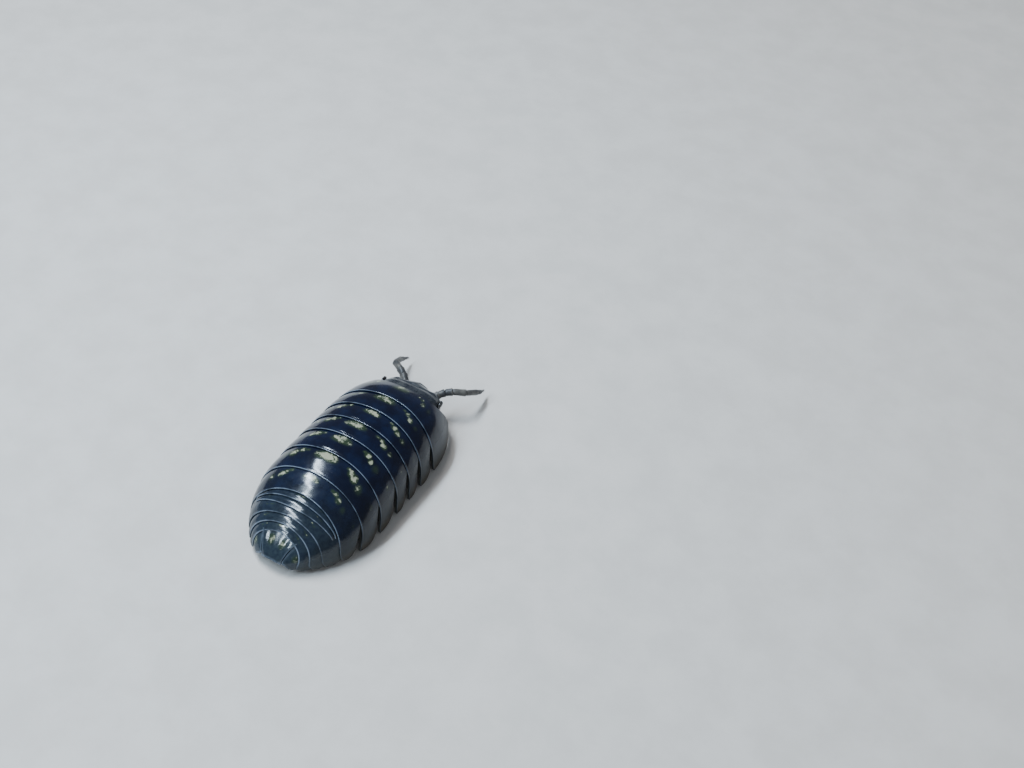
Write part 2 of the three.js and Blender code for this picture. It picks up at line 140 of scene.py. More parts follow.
def smoothstep(value, low, high):
    t = np.clip((value - low) / (high - low), 0, 1)
    return t * t * (3 - 2 * t)


def lerp(a, b, t):
    return a + (b - a) * t


def bell(value, middle, width, power=2):
    """1 at the middle and falling to nothing on both sides."""
    return np.exp(-(np.abs(value - middle) / width) ** power)


def vectors(x, y, z):
    return np.stack(np.broadcast_arrays(x, y, z), -1)


def fall(y, shape):
    start, end, power = shape
    t = np.clip((y - start) / (end - start), 0, 1)
    return (1 - t ** power) ** (1 / power)


def half_width(y):
    return BODY_WIDTH / 2 * np.minimum(fall(y, WIDTH_REAR), fall(y, WIDTH_FRONT))


def top_height(y):
    return BODY_HEIGHT * np.minimum(fall(y, HEIGHT_REAR), fall(y, HEIGHT_FRONT))


def edge_height(y):
    return SKIRT_CLEARANCE + END_LIFT * (np.abs(y) / TAIL_END) ** 4


def hull(angle, y, grow, edge=None):
    """A point of the hull moved out by grow. Angle 0 is the right lower edge, pi the left one."""
    angle, y, grow = np.broadcast_arrays(angle, y, grow)
    edge = edge_height(y) if edge is None else edge
    cos, sin = np.cos(angle), np.maximum(np.sin(angle), 0)
    across = -(half_width(y) + grow) * np.sign(cos) * np.abs(cos) ** (2 / SECTION_POWER)
    rise = (top_height(y) + grow - edge) * sin ** (2 / SECTION_POWER)
    return vectors(across, y, edge + rise)


def hull_height(x, y, grow):
    """How high the hull, moved out by grow, stands at a place in plan."""
    across = np.minimum(1, np.abs(x) / (half_width(y) + grow))
    share = (1 - across ** SECTION_POWER) ** (1 / SECTION_POWER)
    return lerp(edge_height(y), top_height(y) + grow, share)


def angle_over(x, y, grow=0.0):
    """The angle round the hull at a place in plan, from 0 at the edge to pi / 2 on the midline."""
    across = np.clip(np.abs(x) / (half_width(y) + grow), 0, 1)
    return np.arccos(across ** (SECTION_POWER / 2))


def towards_edge(angle, power):
    return np.maximum(1 - np.sin(angle), 0) ** power


def swept(angle, sweep, tip_sweep=0.0):
    """How far a plate's rear border runs back towards its lower edges."""
    tip = tip_sweep * towards_edge(angle, TIP_SWEEP_POWER)
    rounding = TIP_ROUNDING * towards_edge(angle, TIP_POWER)
    return sweep * towards_edge(angle, SWEEP_POWER) + (tip - rounding)


# Borders of the plates, each a function of the angle round the body

class Segment:
    """One plate: where it begins under the plate before, where it comes out, and where it ends."""

    def __init__(self, name, front, rear, shown_front, saddle=False):
        self.name = name
        self.front = front
        self.rear = rear
        self.shown_front = shown_front
        self.saddle = saddle


def rear_border(middle, sweep, tip_sweep=0.0):
    def border(angle):
        return middle + swept(angle, sweep, tip_sweep)
    return border


def first_front(angle):
    return FIRST_FRONT + FIRST_FRONT_SWEEP * towards_edge(angle, FIRST_FRONT_POWER)


def slit_front(before, slit):
    """Under the lip before it on the back, and a slit behind it towards the lower edges."""
    def border(angle):
        edge_share = smoothstep(1 - np.sin(angle), SLIT_FROM, SLIT_TO)
        return before.rear(angle) + lerp(-LIP_OVERLAP, slit, edge_share)
    return border


def uncovered(before, front):
    def border(angle):
        return np.maximum(before.rear(angle), front(angle) + LEAST_SHOWN)
    return border


def behind_saddles(saddle, trunk):
    """Runs on from the saddle's rear to the trunk's rear at both sides."""
    def border(angle):
        beside = 1 - smoothstep(np.sin(angle), SHOULDER_FROM, SHOULDER_TO)
        return lerp(saddle.rear(angle), trunk.rear(angle), beside)
    return border


def tail_front(shown):
    def border(angle):
        return shown(angle) - TAIL_OVERLAP
    return border


def tail_end(angle):
    return TAIL_END + 0 * angle


def trunk_segments():
    found = []
    for i, middle in enumerate(PEREONITE_REARS):
        front = slit_front(found[-1], TIP_SLITS[i]) if found else first_front
        shown = uncovered(found[-1], front) if found else first_front
        rear = rear_border(middle, PEREONITE_SWEEPS[i], TIP_SWEEPS[i])
        found.append(Segment(f"pereonite_{i + 1}", front, rear, shown))
    trunk = found[-1]
    for i, middle in enumerate(PLEONITE_REARS):
        before = found[-1]
        shown = behind_saddles(before, trunk) if i == SADDLES else before.rear
        rear = rear_border(middle, PLEONITE_SWEEPS[i])
        found.append(Segment(f"pleonite_{i + 1}", tail_front(shown), rear, shown, i < SADDLES))
    return found


segments = trunk_segments()
telson_seat = Segment("seat", tail_front(segments[-1].rear), tail_end, segments[-1].rear)
telson_front = float(telson_seat.front(math.pi / 2))


def dip(segment, angles, y):
    """How deep a shell plate lies under the hull: level with the lip over it, then deeper below it."""
    shown, rear = segment.shown_front(angles), segment.rear(angles)
    open_part = np.clip((y - shown) / (rear - shown), 0, 1)
    covered = np.clip((shown - y) / COVER_LENGTH, 0, 1)
    return -SHOWN_STEP * (1 - open_part) ** SHOWN_STEP_POWER - COVER_DIP * covered ** COVER_DIP_POWER


def ripple(x, y, z, scale, seed, waves=6):
    """A smooth pseudo-random field made of a few waves, about -1 to 1."""
    draw = random.Random(seed)
    total = 0
    for _ in range(waves):
        kx, ky, kz = (draw.uniform(-1, 1) for _ in range(3))
        total = total + np.sin((kx * x + ky * y + kz * z) * scale * 3 + draw.uniform(0, 6.28))
    return total / 3


# Meshes

def ring_faces(rings, count):
    """Quads between rings of equal count."""
    faces = []
    for r in range(rings - 1):
        for i in range(count):
            a, b = r * count + i, r * count + (i + 1) % count
            faces.append((a, b, b + count, a + count))
    return faces


def closed_body(grid):
    """Vertices and faces of a body made of rings, with a flat cap at both ends."""
    grid = np.asarray(grid)
    rings, count = grid.shape[:2]
    last = (rings - 1) * count
    faces = ring_faces(rings, count)
    faces.append(tuple(range(count - 1, -1, -1)))
    faces.append(tuple(range(last, last + count)))
    return grid.reshape(-1, 3), faces


def merged(bodies):
    vertices, faces, offset = [], [], 0
    for points, polygons in bodies:
        vertices.append(points)
        faces += [tuple(i + offset for i in polygon) for polygon in polygons]
        offset += len(points)
    return np.concatenate(vertices), faces


def turn_outward(mesh, sharp_degrees):
    """Turns the faces outward and keeps edges sharper than the limit crisp."""
    work = bmesh.new()
    work.from_mesh(mesh)
    bmesh.ops.recalc_face_normals(work, faces=work.faces)
    if sharp_degrees is not None:
        limit = math.radians(sharp_degrees)
        for edge in work.edges:
            if len(edge.link_faces) == 2 and edge.calc_face_angle(0) > limit:
                edge.smooth = False
    work.to_mesh(mesh)
    work.free()


def mesh_object(name, body, material, sharp_degrees=None, attributes=None):
    """A smooth piece on the root body, from vertices in millimetres of the hull's frame and faces."""
    vertices, faces = body
    mesh = bpy.data.meshes.new(name)
    mesh.from_pydata([tuple(v) for v in place(vertices)], [], faces)
    mesh.validate()
    mesh.update()
    for key, values in (attributes or {}).items():
        layer = mesh.attributes.new(key, "FLOAT", "POINT")
        layer.data.foreach_set("value", np.asarray(values, np.float32).ravel())
    mesh.polygons.foreach_set("use_smooth", [True] * len(mesh.polygons))
    mesh.materials.append(material)
    turn_outward(mesh, sharp_degrees)
    item = bpy.data.objects.new(name, mesh)
    bpy.context.scene.collection.objects.link(item)
    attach(item, "root")
    return item


# Materials

class Nodes:
    """Small helper that adds and links shader nodes."""

    def __init__(self, name):
        self.material = bpy.data.materials.new(name)
        self.material.use_nodes = True
        self.tree = self.material.node_tree
        self.shader = self.tree.nodes["Principled BSDF"]
        self.position = self.add("ShaderNodeTexCoord").outputs["Object"]

    def fill(self, socket, value):
        if isinstance(value, bpy.types.NodeSocket):
            self.tree.links.new(value, socket)
        elif isinstance(value, tuple):
            socket.default_value = (*value, 1)
        else:
            socket.default_value = value

    def add(self, kind, inputs=None, **settings):
        node = self.tree.nodes.new(kind)
        for key, value in settings.items():
            setattr(node, key, value)
        for key, value in (inputs or {}).items():
            self.fill(node.inputs[key], value)
        return node

    def attribute(self, name):
        return self.add("ShaderNodeAttribute", attribute_name=name).outputs["Fac"]

    def math(self, operation, a, b):
        return self.add("ShaderNodeMath", {0: a, 1: b}, operation=operation).outputs[0]

    def ramp(self, value, low, high, to_low=0.0, to_high=1.0):
        inputs = {"Value": value, "From Min": low, "From Max": high, "To Min": to_low, "To Max": to_high}
        node = self.add("ShaderNodeMapRange", inputs, interpolation_type="SMOOTHSTEP")
        return node.outputs["Result"]

    def noise(self, scale, detail, roughness, distortion=0.0):
        inputs = {"Scale": scale, "Detail": detail, "Roughness": roughness, "Distortion": distortion,
                  "Vector": self.position}
        return self.add("ShaderNodeTexNoise", inputs).outputs["Fac"]

    def cells(self, scale):
        inputs = {"Scale": scale, "Vector": self.position}
        return self.add("ShaderNodeTexVoronoi", inputs).outputs["Distance"]

    def mix(self, share, a, b):
        node = self.add("ShaderNodeMix", data_type="RGBA")
        for key, value in (("Factor", share), ("A", a), ("B", b)):
            self.fill(next(s for s in node.inputs if s.name == key and s.enabled), value)
        return next(s for s in node.outputs if s.enabled)

    def bump(self, heights):
        """Chains bumps from (height socket, strength, distance in metres)."""
        normal = None
        for height, strength, distance in heights:
            inputs = {"Height": height, "Strength": strength, "Distance": distance}
            if normal is not None:
                inputs["Normal"] = normal
            normal = self.add("ShaderNodeBump", inputs).outputs["Normal"]
        return normal

    def finish(self, **inputs):
        for key, value in inputs.items():
            self.fill(self.shader.inputs[key.replace("_", " ")], value)
        return self.material


NAVY = (0.0015, 0.0032, 0.0120)
SLATE = (0.0035, 0.0080, 0.0270)
FLANK = (0.0080, 0.0125, 0.0110)
TIP_BROWN = (0.0380, 0.0310, 0.0200)
OLIVE = (0.0260, 0.0440, 0.0200)
CREAM = (0.3300, 0.3500, 0.2500)
# Painted highlight: the pale blue-white light caught on the plates' rolled rims
RIM_HIGHLIGHT = (0.1600, 0.2000, 0.2600)
TAIL_GREY = (0.0330, 0.0500, 0.0620)
INSIDE_GREY = (0.085, 0.085, 0.078)


def shell_material():
    n = Nodes("shell")
    edge, rim = n.attribute("edge"), n.attribute("rim")
    mark, tail = n.attribute("mark"), n.attribute("tail")
    inside = n.attribute("inside")
    cloud = n.noise(900, 4, 0.6)
    fine = n.noise(4200, 4, 0.65)
    base = n.mix(n.ramp(cloud, 0.35, 0.7), NAVY, SLATE)
    # Brown-green flanks, brown tips and a grey tail
    flank = n.math("MULTIPLY", n.ramp(edge, 0.35, 0.95), n.ramp(fine, 0.25, 0.75, 0.35, 1.0))
    base = n.mix(flank, base, FLANK)
    tips = n.math("MULTIPLY", n.ramp(edge, 0.8, 1.0), n.ramp(cloud, 0.3, 0.65, 0.4, 1.0))
    base = n.mix(tips, base, TIP_BROWN)
    base = n.mix(n.math("MULTIPLY", tail, n.ramp(fine, 0.3, 0.7, 0.5, 1.0)), base, TAIL_GREY)
    # Cream marks with broken edges inside an olive haze
    mottle = n.noise(2600, 5, 0.7, 0.6)
    blotch = n.math("ADD", mark, n.math("MULTIPLY", n.math("SUBTRACT", mottle, 0.53), 3.2))
    base = n.mix(n.ramp(mark, 0.08, 0.5, 0.0, 0.75), base, OLIVE)
    base = n.mix(n.math("MULTIPLY", n.ramp(blotch, 0.35, 0.75), n.ramp(mark, 0.15, 0.4)), base, CREAM)
    # A painted highlight on the rolled rims, fading in places and towards the lower edges, which face away
    # from the light
    rim_highlight_share = n.math("MULTIPLY", n.ramp(cloud, 0.35, 0.6, 0.25, 1.0), n.ramp(edge, 0.3, 0.9, 1.0, 0.3))
    base = n.mix(n.math("MULTIPLY", rim, rim_highlight_share), base, RIM_HIGHLIGHT)
    base = n.mix(n.math("MULTIPLY", inside, 0.8), base, INSIDE_GREY)
    rough = n.math("ADD", n.ramp(fine, 0.2, 0.8, 0.11, 0.17), n.math("MULTIPLY", inside, 0.25))
    rough = n.math("ADD", rough, n.ramp(edge, 0.45, 0.85, 0.0, 0.36))
    pits = n.ramp(n.cells(5200), 0.0, 0.22)
    normal = n.bump([(cloud, 0.2, 0.000010), (fine, 0.2, 0.000004), (pits, 0.15, 0.000004)])
    return n.finish(Base_Color=base, Roughness=rough, Normal=normal, IOR=1.45,
                    Coat_Weight=0.05, Coat_Roughness=0.1)


def plain_material(name, dark, light, scale, roughness, bump=0.3, coat=0.0, subsurface=0.0):
    n = Nodes(name)
    cloud = n.noise(scale, 4, 0.6)
    fine = n.noise(scale * 5, 3, 0.6)
    base = n.mix(n.ramp(cloud, 0.35, 0.68), dark, light)
    base = n.mix(n.ramp(fine, 0.55, 0.75, 0.0, 0.35), base, tuple(0.5 * c for c in dark))
    rough = n.ramp(fine, 0.2, 0.8, roughness - 0.08, roughness + 0.1)
    normal = n.bump([(cloud, bump, 0.00002), (fine, bump, 0.000008)])
    return n.finish(Base_Color=base, Roughness=rough, Normal=normal, Coat_Weight=coat,
                    Subsurface_Weight=subsurface, Subsurface_Scale=0.0003)


MATERIALS = {
    "shell": shell_material(),
    "head": plain_material("head", (0.012, 0.016, 0.024), (0.045, 0.050, 0.056), 1500, 0.3, coat=0.3),
    "eye": plain_material("eye", (0.002, 0.002, 0.003), (0.008, 0.008, 0.012), 3000, 0.12,
                          bump=0.05, coat=1.0),
    "antenna": plain_material("antenna", (0.035, 0.036, 0.040), (0.12, 0.115, 0.105), 1700, 0.4),
    "leg": plain_material("leg", (0.16, 0.15, 0.13), (0.42, 0.40, 0.35), 1500, 0.42, subsurface=0.15),
    "gill_plate": plain_material("gill_plate", (0.36, 0.33, 0.27), (0.62, 0.58, 0.50), 1200, 0.5,
                                 subsurface=0.2),
    "belly": plain_material("belly", (0.050, 0.050, 0.046), (0.165, 0.155, 0.135), 1100, 0.5),
    "claw": plain_material("claw", (0.035, 0.018, 0.008), (0.10, 0.055, 0.022), 2500, 0.25, coat=0.4),
    "lung": plain_material("lung", (0.70, 0.70, 0.66), (0.88, 0.88, 0.85), 2500, 0.5, subsurface=0.3),
}

# Shell plates

# Pale marks behind the border in front: degrees off the middle, share along, half sizes, strength
MARKS = (
    (0, 0.19, 6.5, 0.19, 1.0),
    (18, 0.14, 3.0, 0.10, 0.6),
    (23, 0.22, 3.5, 0.13, 0.95),
    (28, 0.34, 3.5, 0.15, 0.85),
    (38, 0.42, 5.0, 0.20, 0.42),
    (60, 0.35, 4.0, 0.16, 0.30),
)
MARK_BEND = 0.006
MARK_SHIFT = 1.5
MARK_SLIDE = 0.04
# How strongly each plate is marked, and how far it has the tail's grey
MARK_STRENGTHS = (0.6, 0.8, 1.0, 1.0, 1.0, 1.0, 0.95, 0.35, 0.35, 0.4, 0.4, 0.5)
TAIL_SHARES = (0, 0, 0, 0, 0, 0.05, 0.15, 0.4, 0.45, 0.5, 0.55, 0.6)
FIRST_PLATE_SEED = 100


def mark_field(angle, along, strength, seed):
    """How strongly each place is marked, mirrored about the midline with small differences."""
    draw = random.Random(seed)
    off = np.degrees(angle) - 90
    total = np.zeros_like(off)
    for off_middle, share, wide, long, weight in MARKS:
        for sign in ((1, -1) if off_middle else (1,)):
            centre = sign * off_middle + draw.uniform(-MARK_SHIFT, MARK_SHIFT)
            middle = share + draw.uniform(-MARK_SLIDE, MARK_SLIDE)
            size = draw.uniform(0.75, 1.15)
            level = weight * draw.uniform(0.75, 1.1)
            bent = along - middle - MARK_BEND * np.abs(off - centre)
            far = ((off - centre) / (wide * size)) ** 2 + (bent / (long * size)) ** 2
            total = np.maximum(total, level * np.exp(-far))
    return total * strength


class PlateRows:
    """Lines of points from the right lower edge to the left one, which follow each other round a plate."""

    def __init__(self, segment, angles):
        self.angles = angles
        self.front = segment.front(angles)
        self.rear = segment.rear(angles)
        self.shown = segment.shown_front(angles)
        self.points, self.along, self.inside, self.rim = [], [], [], []

    def add(self, y, grow, inside=0.0):
        share = np.clip((y - self.front) / (self.rear - self.front), 0, 1)
        corner = FRONT_CORNER_LIFT * (1 - share) ** 3
        self.points.append(hull(self.angles, y, grow, edge_height(y) + corner))
        self.along.append(np.clip((y - self.shown) / (self.rear - self.shown), -0.3, 1.0))
        self.inside.append(np.full_like(self.angles, inside))
        # How much painted rim highlight each row carries, none on the inside faces
        self.rim.append(smoothstep(y, self.rear - RIM_WIDTH, self.rear - RIM_FULL) * (1 - inside))


def plate_thickness(from_edge, rear):
    thick = lerp(TIP_THICKNESS, ROOT_THICKNESS, smoothstep(from_edge, 0.0, ROOT_ANGLE))
    thick = np.where(from_edge > THIN_FROM, SHELL_THICKNESS, thick)
    return np.minimum(thick, THICKEST_SHARE * half_width(rear))


def plate(segment, following, seed, marks, tail):
    """One shell plate: its back, its rolled lip, the recess for the next plate, and its inside."""
    start = SADDLE_ANGLE if segment.saddle else 0.0
    angles = np.linspace(start, math.pi - start, ACROSS_STEPS)
    tuck = np.zeros_like(angles)
    if segment.saddle:
        # The ends of a saddle run on under the plates beside it
        tuck = -SADDLE_TUCK * (1 - smoothstep(np.minimum(angles, math.pi - angles), *TUCK_ANGLES))
    else:
        # Narrower steps on the back
        angles = angles + BACK_CROWDING * np.sin(2 * angles)
    rows = PlateRows(segment, angles)
    front, rear, shown = rows.front, rows.rear, rows.shown
    thickness = plate_thickness(np.minimum(angles, math.pi - angles), rear)

    for share in 1 - (1 - np.linspace(0, 1, ALONG_STEPS)) ** LIP_CROWDING:
        y = lerp(front, rear - LIP_RADIUS, share)
        groove = -GROOVE_DEPTH * bell(y, rear - GROOVE_PLACE, GROOVE_WIDTH)
        swell = SWELL * np.sin(math.pi * np.clip((y - shown) / (rear - shown), 0, 1)) ** 2
        grain = sum(depth * ripple(angles * 4, y, angles * 0, scale, seed + i)
                    for i, (depth, scale) in enumerate(GRAIN))
        rows.add(y, dip(segment, angles, y) + tuck + groove + swell + grain * min(1, share * 5))
    for turn in LIP_TURNS:
        rows.add(rear - LIP_RADIUS + LIP_RADIUS * math.sin(turn), tuck + LIP_RADIUS * (math.cos(turn) - 1))
    # Under the lip, forward to where the next plate begins
    recess = np.minimum(following.front(angles) - RECESS_GAP, rear - LEAST_LIP)
    recess = np.maximum(recess, front + LEAST_BACK_SHARE * (rear - front))
    for share in UNDER_LIP_SHARES:
        y = lerp(rear - LIP_RADIUS, recess, share)
        under = np.minimum(dip(following, angles, y) + GAP, -2 * LIP_RADIUS)
        under = np.minimum(under, dip(segment, angles, y) - 2 * LIP_RADIUS) + tuck
        rows.add(y, under, 1.0)
    # Down by the shell's thickness, and on along the inside to the front
    deep = np.minimum(dip(segment, angles, recess) + tuck - thickness, under - LEAST_THICKNESS)
    inner_front = dip(segment, angles, front) + tuck - 0.5 * thickness
    rows.add(recess, deep, 1.0)
    for share in INSIDE_SHARES:
        rows.add(lerp(recess, front, share), lerp(deep, inner_front, share), 1.0)

    grid, inside = np.stack(rows.points, 1), np.stack(rows.inside, 1)
    angle_grid = np.repeat(angles[:, None], grid.shape[1], 1)
    marked = mark_field(angle_grid, np.stack(rows.along, 1), marks, seed) * (1 - inside)
    attributes = {
        "edge": 1 - np.sin(angle_grid),
        "mark": marked,
        "inside": inside,
        "rim": np.stack(rows.rim, 1),
        "tail": np.full_like(inside, tail),
    }
    item = mesh_object(segment.name + "_plate", closed_body(grid), MATERIALS["shell"], 50, attributes)
    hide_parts(segment.name)


def plates():
    followers = [*segments[1:], telson_seat]
    for i, (segment, following) in enumerate(zip(segments, followers)):
        plate(segment, following, FIRST_PLATE_SEED + i, MARK_STRENGTHS[i], TAIL_SHARES[i])


# Tail fan

TELSON_STEPS = (34, 41)
UROPOD_STEPS = (30, 25)
TELSON_SPOTS = ((0.3, 0.42), (0.7, 0.42))
SPOT_STRENGTH = 0.62
TELSON_DIP_DEPTH = 0.05
TELSON_CORNER = 0.05
UROPOD_CORNER = 0.07
UROPOD_BULGE = 0.03
TELSON_UROPOD_GAP = 0.06
SIDE_ROUNDING = 0.25


def shares_over(rows):
    """Shares across and along a grid of points, ready to be combined."""
    along, across = np.shape(rows)[:2]
    return np.linspace(0, 1, across)[None, :], np.linspace(0, 1, along)[:, None]


def slab(name, rows, through, node, values):
    """A closed plate from rows of points on its outer face and the ways through to its inner face."""
    outer = np.asarray(rows)
    inner = outer + through
    # A rounded edge at both sides
    left = lerp(outer[:, 0], inner[:, 0], 0.5) + (outer[:, 0] - outer[:, 1]) * SIDE_ROUNDING
    right = lerp(outer[:, -1], inner[:, -1], 0.5) + (outer[:, -1] - outer[:, -2]) * SIDE_ROUNDING
    grid = np.concatenate([outer, right[:, None], inner[:, ::-1], left[:, None]], 1)
    face, side = np.zeros(outer.shape[:2]), np.zeros((len(outer), 1))
    attributes = {"inside": np.concatenate([face, side, face + 1, side], 1)}
    for key, value in values.items():
        field = face + value
        attributes[key] = np.concatenate([field, field[:, -1:], 0.5 * field[:, ::-1], field[:, :1]], 1)
    item = mesh_object(name, closed_body(grid), MATERIALS["shell"], 50, attributes)
    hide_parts(node)


def telson_half_width(y):
    along = np.clip((y - telson_front) / (TAIL_END - telson_front), 0, 1)
    return lerp(TELSON_BASE, TELSON_TIP, along ** TELSON_TAPER)


def telson():
    rows = []
    across = np.linspace(-1, 1, TELSON_STEPS[1])
    for along in np.linspace(0, 1, TELSON_STEPS[0]):
        middle = lerp(telson_front, TAIL_END, along)
        x = across * telson_half_width(middle)
        angle = angle_over(x, middle)
        y = lerp(np.minimum(telson_seat.front(angle), TAIL_END - 0.5), TAIL_END, along)
        z = hull_height(x, middle, dip(telson_seat, angle, y))
        # A shallow dip along each side and a rounded rear edge
        z = z - TELSON_DIP_DEPTH * bell(np.abs(across), 0.55, 0.22) * math.sin(math.pi * along)
        y = y - TELSON_CORNER * smoothstep(np.abs(across), 0.6, 1.0) * along
        rows.append(vectors(x, y, z))
    c, r = shares_over(rows)
    slab("telson_plate", rows, vectors(0 * c, -0.32 * r, -0.36 + 0.12 * r), "telson", {
        "mark": sum(SPOT_STRENGTH * bell(c, spot_c, 0.13) * bell(r, spot_r, 0.2)
                    for spot_c, spot_r in TELSON_SPOTS),
        "tail": 0.75,
        "edge": 0.1,
        # Painted highlight along the rear edge, fainter along the sides
        "rim": smoothstep(r, 0.93, 1.0) + 0.35 * smoothstep(np.abs(2 * c - 1), 0.88, 1.0),
    })


def uropods():
    steepest = angle_over(telson_half_width(telson_front) + TELSON_UROPOD_GAP, telson_front)
    across = np.linspace(UROPOD_SIDE, 1, UROPOD_STEPS[1])
    for side, sign in (("left", 1), ("right", -1)):
        rows = []
        for along in np.linspace(0, 1, UROPOD_STEPS[0]):
            seat_angle = across * steepest
            y = lerp(telson_seat.front(seat_angle), UROPOD_REAR - 0.1 * (1 - across), along)
            # Both rear corners are rounded
            corners = smoothstep(across, 0.9, 1.0) + smoothstep(-across, -0.25, -0.06)
            y = y - UROPOD_CORNER * along * corners
            sink = dip(telson_seat, seat_angle, y)
            angle = across * angle_over(telson_half_width(y) + TELSON_UROPOD_GAP, y, sink)
            bulge = UROPOD_BULGE * math.sin(math.pi * along) * np.sin(math.pi * across)
            points = hull(angle, y, sink + bulge)
            rows.append(vectors(sign * np.abs(points[:, 0]), y, points[:, 2]))
        c, r = shares_over(rows)
        through = vectors(-sign * 0.2 * (1 - c), -0.28 * r, -0.32 + 0.1 * r)
        slab(f"uropod_plate_{side}", rows, through, f"uropod_{side}", {
            "mark": 0.5 * bell(c, 0.6, 0.2) * bell(r, 0.45, 0.25),
            "tail": 0.8,
            "edge": 0.55 - 0.5 * c,
            # Painted highlight along the rear edge, fainter along the outer side
            "rim": smoothstep(r, 0.92, 1.0) + 0.35 * smoothstep(c, 0.9, 1.0),
        })


# Small bodies made of rings

# Share along an article and how thick it is there; the widest place behind its end is the flare
ARTICLE_ROOT = ((0.0, 0.55), (0.03, 0.74), (0.1, 0.9), (0.22, 1.0), (0.45, 1.02), (0.7, 1.08))
ARTICLE_END = ((0.86, 1.0), (0.94, 1.0), (0.98, 0.9), (1.0, 0.62))
BRISTLE_TURNS = (0, 2.094, 4.189)
BRISTLE_THICKNESS = 0.007


def unit(vector):
    return vector / np.linalg.norm(vector)


def frames_along(path, reference):
    """Ring axes that turn smoothly along a path."""
    tangents = np.gradient(np.asarray(path, float), axis=0)
    tangents /= np.linalg.norm(tangents, axis=1)[:, None]
    found = []
    u = unit(np.cross(reference, tangents[0]))
    for t in tangents:
        u = unit(u - t * u.dot(t))
        found.append((u, np.cross(t, u)))
    return found


def tube(path, radii, sides, reference=(0, 0, 1), ridges=0.0):
    """A closed round bar; ridges are shallow furrows along it."""
    turns = np.linspace(0, 2 * math.pi, sides, endpoint=False)
    rings = []
    for point, radius, (u, v) in zip(path, radii, frames_along(path, np.array(reference, float))):
        swell = radius * (1 + ridges * np.cos(4 * turns))
        ring = np.asarray(point) + np.outer(swell * np.cos(turns), u)
        rings.append(ring + np.outer(swell * np.sin(turns), v))
    return closed_body(rings)


def article(start, end, from_radius, to_radius, sides, flare, **shape):
    """One article of a limb: narrow at its root, widest behind its end, with a rounded rim."""
    profile = ARTICLE_ROOT + tuple((share, flare * swell) for share, swell in ARTICLE_END)
    path = [lerp(start, end, share) for share, _ in profile]
    radii = [lerp(from_radius, to_radius, share) * swell for share, swell in profile]
    return tube(path, radii, sides, **shape)


def axes_across(direction):
    """Two directions across a given one."""
    helper = np.array((0, 0, 1.0)) if abs(direction[2]) < 0.8 else np.array((1.0, 0, 0))
    u = unit(np.cross(direction, helper))
    return u, np.cross(direction, u)


def bristle(root, direction, length, radius):
    direction = unit(direction)
    u, v = axes_across(direction)
    ring = [root + radius * (math.cos(turn) * u + math.sin(turn) * v) for turn in BRISTLE_TURNS]
    return np.array([*ring, root + direction * length]), [(0, 1, 3), (1, 2, 3), (2, 0, 3), (0, 2, 1)]


def bristles_on(start, end, radius, count, length, lean):
    """Fine bristles round one article, leaning towards its end."""
    axis = unit(end - start)
    u, v = axes_across(axis)
    found = []
    for _ in range(count):
        turn, share = rng.uniform(0, 2 * math.pi), rng.uniform(0.08, 0.96)
        out = math.cos(turn) * u + math.sin(turn) * v
        root = lerp(start, end, share) + out * radius * 0.9
        found.append(bristle(root, out + axis * lean, length * rng.uniform(0.7, 1.2), BRISTLE_THICKNESS))
    return found


def ball(centre, radii, rings, sides):
    turns = np.linspace(0, 2 * math.pi, sides, endpoint=False)
    points = []
    for polar in math.pi * np.arange(rings + 1) / rings:
        ring = vectors(math.sin(polar) * np.cos(turns), math.sin(polar) * np.sin(turns), math.cos(polar))
        points.append(ring * radii)
    return np.concatenate(points) + centre, ring_faces(rings + 1, sides)


# Antennae

# Joints from the socket to the tip: off the middle, ahead of the head's end, height, radius
ANTENNA_JOINTS = (
    (1.15, 0.10, 1.62, 0.25),
    (1.30, 0.42, 1.66, 0.25),
    (1.62, 0.72, 1.78, 0.24),
    (2.05, 1.00, 1.86, 0.235),
    (2.75, 1.50, 1.72, 0.21),
    (3.00, 2.50, 1.12, 0.17),
    (3.02, 2.85, 0.88, 0.14),
    (2.98, 3.47, 0.52, 0.035),
)
ANTENNA_SIDES = 24
ANTENNA_FLARE = 1.14
ANTENNA_OVERLAP = 0.06
RIDGED_ARTICLES = 5
RIDGE_DEPTH = 0.03
BRISTLES_PER_MM = 70
LEAST_BRISTLES = 12
TIP_BRISTLES = 5


def antennae():
    radii = [joint[3] for joint in ANTENNA_JOINTS]
    for side, sign in (("left", 1), ("right", -1)):
        points = [np.array((sign * x, HEAD_END - ahead, z)) for x, ahead, z, _ in ANTENNA_JOINTS]
        parts, hairs = [], []
        for i in range(len(points) - 1):
            start = lerp(points[i], points[i + 1], -ANTENNA_OVERLAP if i else 0.0)
            flare = ANTENNA_FLARE if i < len(points) - 2 else 1.0
            parts.append(article(start, points[i + 1], radii[i], radii[i + 1], ANTENNA_SIDES, flare,
                                 ridges=RIDGE_DEPTH if i < RIDGED_ARTICLES else 0.0))
            count = int(BRISTLES_PER_MM * np.linalg.norm(points[i + 1] - points[i])) + LEAST_BRISTLES
            hairs += bristles_on(points[i], points[i + 1], lerp(radii[i], radii[i + 1], 0.5),
                                 count, 0.075, 0.9)
        # The stiff brush at the tip
        axis = points[-1] - points[-2]
        for _ in range(TIP_BRISTLES):
            off = np.array([rng.uniform(-0.01, 0.01) for _ in range(3)])
            hairs.append(bristle(points[-1] - axis * 0.05 + off, axis + off * 6, 0.14, 0.008))
        item = mesh_object(f"antenna_limb_{side}", merged(parts + hairs), MATERIALS["antenna"], 55)
        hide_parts(f"antenna_{side}")


# Legs

